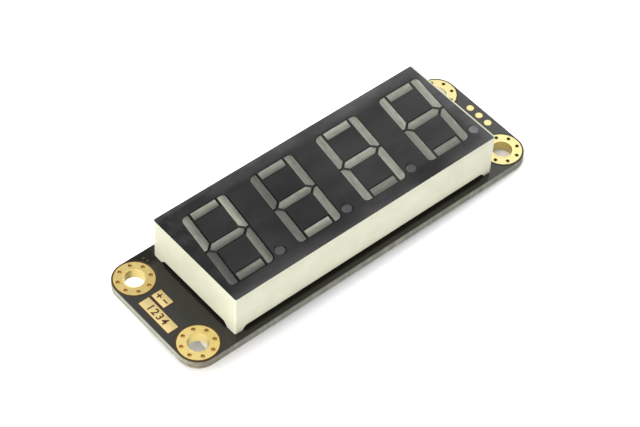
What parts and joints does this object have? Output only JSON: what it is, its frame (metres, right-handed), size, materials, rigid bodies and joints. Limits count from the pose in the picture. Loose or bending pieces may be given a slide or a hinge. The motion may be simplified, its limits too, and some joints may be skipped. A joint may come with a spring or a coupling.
{
  "type": "seven segment display module",
  "caption": "Slim circuit board carrying a row of red LED digits with decimal points, plated mounting holes, and a driver chip and cable connector on its back.",
  "frame": {"origin": "centre of the four mounting holes, on the front face of the circuit board", "axes": "+X along the board from the connector end to the plain end, +Y across the board towards the tops of the digits, +Z out of the board through the display's face"},
  "size_m": [0.0668, 0.0218, 0.0151],
  "materials": {
    "solder_mask": "satin black solder mask over glass-fibre board",
    "gold_plating": "bright gold plating",
    "housing_plastic": "ivory moulded plastic",
    "face_coat": "dark grey printed coat",
    "window_resin": "frosted grey-green resin",
    "decimal_resin": "frosted grey resin",
    "light_board": "glass-fibre board",
    "light_chips": "bare light-emitting chips",
    "back_resin": "cast resin",
    "tinned_metal": "tin plating",
    "solder": "reflowed solder",
    "chip_plastic": "black moulding compound",
    "connector_plastic": "natural nylon",
    "capacitor_ceramic": "tan ceramic"
  },
  "bodies": {
    "root": {"circuit_board": "solder_mask", "hole_plating_left_front": "gold_plating", "hole_plating_left_back": "gold_plating", "hole_plating_right_front": "gold_plating", "hole_plating_right_back": "gold_plating", "display_housing": "housing_plastic", "face_coat": "face_coat", "digit_1_windows": "window_resin", "digit_2_windows": "window_resin", "digit_3_windows": "window_resin", "digit_4_windows": "window_resin", "decimal_windows": "decimal_resin", "light_board": "light_board", "light_chips": "light_chips", "back_resin": "back_resin", "display_pins_front": "tinned_metal", "display_pins_back": "tinned_metal", "pin_solder": "solder", "driver_chip": "chip_plastic", "driver_chip_leads": "tinned_metal", "connector_housing": "connector_plastic", "connector_contacts": "tinned_metal", "connector_tabs": "tinned_metal", "capacitor_bodies": "capacitor_ceramic", "capacitor_ends": "tinned_metal", "resistor_bodies": "chip_plastic", "resistor_ends": "tinned_metal"}
  },
  "joints": []
}
